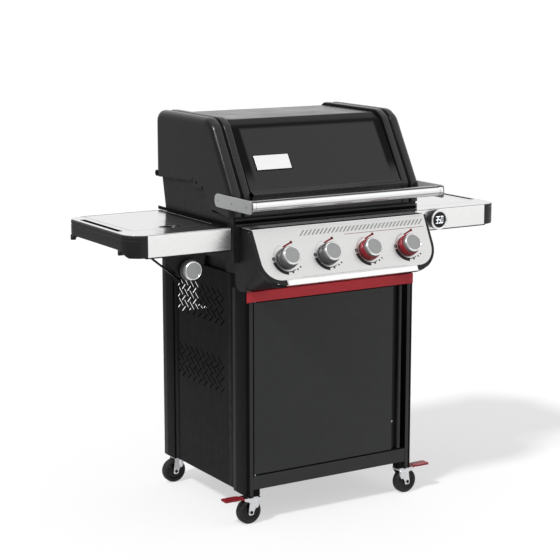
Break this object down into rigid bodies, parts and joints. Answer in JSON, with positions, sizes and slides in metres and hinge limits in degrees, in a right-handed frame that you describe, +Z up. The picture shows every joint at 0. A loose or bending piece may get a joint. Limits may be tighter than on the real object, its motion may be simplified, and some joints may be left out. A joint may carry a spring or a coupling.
{
  "type": "gas barbecue grill",
  "caption": "Freestanding gas barbecue: lidded cookbox on a wheeled cabinet with a hinged door, sloped knob panel, two side shelves and a covered side burner.",
  "frame": {"origin": "on the floor under the middle of the grill's overall box", "axes": "+X to the right shelf seen from the front, +Y to the back, +Z up; the door and knobs face -Y"},
  "size_m": [1.33, 0.6668, 1.216],
  "materials": {
    "black_paint": "satin",
    "panel_paint": "satin",
    "door_paint": "satin",
    "red_paint": "satin",
    "enamel": "gloss",
    "stainless": "brushed",
    "chrome": "polished",
    "zinc": "polished",
    "handle_grey": "satin",
    "knob_grey": "satin",
    "black_plastic": "satin",
    "red_plastic": "satin",
    "rubber": "matte",
    "cast_iron": "matte",
    "dark_casting": "matte",
    "brass": "satin"
  },
  "bodies": {
    "cabinet": {"left_side_frame": "black_paint", "right_side_frame": "black_paint", "floor_pan": "black_paint", "side_burner_bracket": "black_paint", "left_side_panel": "panel_paint", "right_side_panel": "panel_paint", "rear_panel": "panel_paint", "red_front_rail": "red_paint", "control_fascia": "stainless", "burner_set": "stainless", "heat_bar_1": "stainless", "heat_bar_2": "stainless", "heat_bar_3": "stainless", "heat_bar_4": "stainless", "left_shelf_top": "stainless", "right_shelf_top": "stainless", "left_shelf_front": "stainless", "right_shelf_front": "stainless", "side_burner_bowl": "stainless", "control_cap_left": "black_plastic", "control_cap_right": "black_plastic", "left_shelf_end_cap": "black_plastic", "right_shelf_end_cap": "black_plastic", "display_housing": "black_plastic", "gas_manifold": "brass", "grate_left": "cast_iron", "grate_right": "cast_iron", "side_burner_grate": "cast_iron", "cookbox": "dark_casting", "warming_rack": "chrome"},
    "lid": {"lid_skin": "enamel", "lid_end_left": "enamel", "lid_end_right": "enamel", "handle_tube": "chrome", "handle_bracket_left": "handle_grey", "handle_bracket_right": "handle_grey"},
    "door": {"door_panel": "door_paint", "door_grip": "door_paint"},
    "side_cover": {"side_burner_cover": "stainless"},
    "tray": {"grease_tray": "stainless"},
    "stem_1": {"valve_stem_1": "zinc"},
    "dial_1": {"knob_1": "knob_grey"},
    "stem_2": {"valve_stem_2": "zinc"},
    "dial_2": {"knob_2": "knob_grey"},
    "stem_3": {"valve_stem_3": "zinc"},
    "dial_3": {"knob_3": "knob_grey"},
    "stem_4": {"valve_stem_4": "zinc"},
    "dial_4": {"knob_4": "knob_grey"},
    "side_stem": {"side_valve_stem": "zinc"},
    "side_dial": {"side_knob": "knob_grey"},
    "fork_front_left": {"caster_fork_front_left": "zinc"},
    "wheel_front_left": {"caster_wheel_front_left": "rubber"},
    "pedal_left": {"brake_pedal_left": "red_plastic"},
    "fork_front_right": {"caster_fork_front_right": "zinc"},
    "wheel_front_right": {"caster_wheel_front_right": "rubber"},
    "pedal_right": {"brake_pedal_right": "red_plastic"},
    "fork_rear_left": {"caster_fork_rear_left": "zinc"},
    "wheel_rear_left": {"caster_wheel_rear_left": "rubber"},
    "fork_rear_right": {"caster_fork_rear_right": "zinc"},
    "wheel_rear_right": {"caster_wheel_rear_right": "rubber"}
  },
  "joints": [
    {"name": "lid_hinge", "type": "hinge", "parent": "cabinet", "child": "lid", "pos_m": [0, 0.03438, 1.015], "axis": [-1, 0, 0], "range_deg": [0, 50]},
    {"name": "door_hinge", "type": "hinge", "parent": "cabinet", "child": "door", "pos_m": [-0.27, -0.19612, 0.416], "axis": [0, 0, -1], "range_deg": [0, 110]},
    {"name": "side_cover_hinge", "type": "hinge", "parent": "cabinet", "child": "side_cover", "pos_m": [-0.477, 0.24618, 0.9018], "axis": [-1, 0, 0], "range_deg": [0, 90]},
    {"name": "tray_slide", "type": "slide", "parent": "cabinet", "child": "tray", "axis": [0, 1, 0], "range_m": [0, 0.25]},
    {"name": "knob_1_push", "type": "slide", "parent": "cabinet", "child": "stem_1", "axis": [0, 0.8867, -0.4623], "range_m": [0, 0.003], "stiffness_N_per_m": 600},
    {"name": "knob_1_turn", "type": "hinge", "parent": "stem_1", "child": "dial_1", "pos_m": [-0.2159, -0.28855, 0.81919], "axis": [0, 0.8867, -0.4623], "range_deg": [-240, 0]},
    {"name": "knob_2_push", "type": "slide", "parent": "cabinet", "child": "stem_2", "axis": [0, 0.8867, -0.4623], "range_m": [0, 0.003], "stiffness_N_per_m": 600},
    {"name": "knob_2_turn", "type": "hinge", "parent": "stem_2", "child": "dial_2", "pos_m": [-0.0729, -0.28855, 0.81919], "axis": [0, 0.8867, -0.4623], "range_deg": [-240, 0]},
    {"name": "knob_3_push", "type": "slide", "parent": "cabinet", "child": "stem_3", "axis": [0, 0.8867, -0.4623], "range_m": [0, 0.003], "stiffness_N_per_m": 600},
    {"name": "knob_3_turn", "type": "hinge", "parent": "stem_3", "child": "dial_3", "pos_m": [0.0729, -0.28855, 0.81919], "axis": [0, 0.8867, -0.4623], "range_deg": [-240, 0]},
    {"name": "knob_4_push", "type": "slide", "parent": "cabinet", "child": "stem_4", "axis": [0, 0.8867, -0.4623], "range_m": [0, 0.003], "stiffness_N_per_m": 600},
    {"name": "knob_4_turn", "type": "hinge", "parent": "stem_4", "child": "dial_4", "pos_m": [0.2159, -0.28855, 0.81919], "axis": [0, 0.8867, -0.4623], "range_deg": [-240, 0]},
    {"name": "side_knob_push", "type": "slide", "parent": "cabinet", "child": "side_stem", "axis": [0, 1, 0], "range_m": [0, 0.003], "stiffness_N_per_m": 600},
    {"name": "side_knob_turn", "type": "hinge", "parent": "side_stem", "child": "side_dial", "pos_m": [-0.458, -0.13962, 0.7885], "axis": [0, 1, 0], "range_deg": [-240, 0]},
    {"name": "swivel_front_left", "type": "hinge", "parent": "cabinet", "child": "fork_front_left", "pos_m": [-0.27, -0.18842, 0.084], "axis": [0, 0, 1], "continuous": true},
    {"name": "roll_front_left", "type": "hinge", "parent": "fork_front_left", "child": "wheel_front_left", "pos_m": [-0.289, -0.18842, 0.0385], "axis": [0, 1, 0], "continuous": true},
    {"name": "brake_left", "type": "hinge", "parent": "fork_front_left", "child": "pedal_left", "pos_m": [-0.308, -0.18842, 0.079], "axis": [0, -1, 0], "range_deg": [0, 12]},
    {"name": "swivel_front_right", "type": "hinge", "parent": "cabinet", "child": "fork_front_right", "pos_m": [0.27, -0.18842, 0.084], "axis": [0, 0, 1], "continuous": true},
    {"name": "roll_front_right", "type": "hinge", "parent": "fork_front_right", "child": "wheel_front_right", "pos_m": [0.289, -0.18842, 0.0385], "axis": [0, 1, 0], "continuous": true},
    {"name": "brake_right", "type": "hinge", "parent": "fork_front_right", "child": "pedal_right", "pos_m": [0.308, -0.18842, 0.079], "axis": [0, 1, 0], "range_deg": [0, 12]},
    {"name": "swivel_rear_left", "type": "hinge", "parent": "cabinet", "child": "fork_rear_left", "pos_m": [-0.27, 0.29328, 0.084], "axis": [0, 0, 1], "continuous": true},
    {"name": "roll_rear_left", "type": "hinge", "parent": "fork_rear_left", "child": "wheel_rear_left", "pos_m": [-0.289, 0.29328, 0.0385], "axis": [0, 1, 0], "continuous": true},
    {"name": "swivel_rear_right", "type": "hinge", "parent": "cabinet", "child": "fork_rear_right", "pos_m": [0.27, 0.29328, 0.084], "axis": [0, 0, 1], "continuous": true},
    {"name": "roll_rear_right", "type": "hinge", "parent": "fork_rear_right", "child": "wheel_rear_right", "pos_m": [0.289, 0.29328, 0.0385], "axis": [0, 1, 0], "continuous": true}
  ]
}
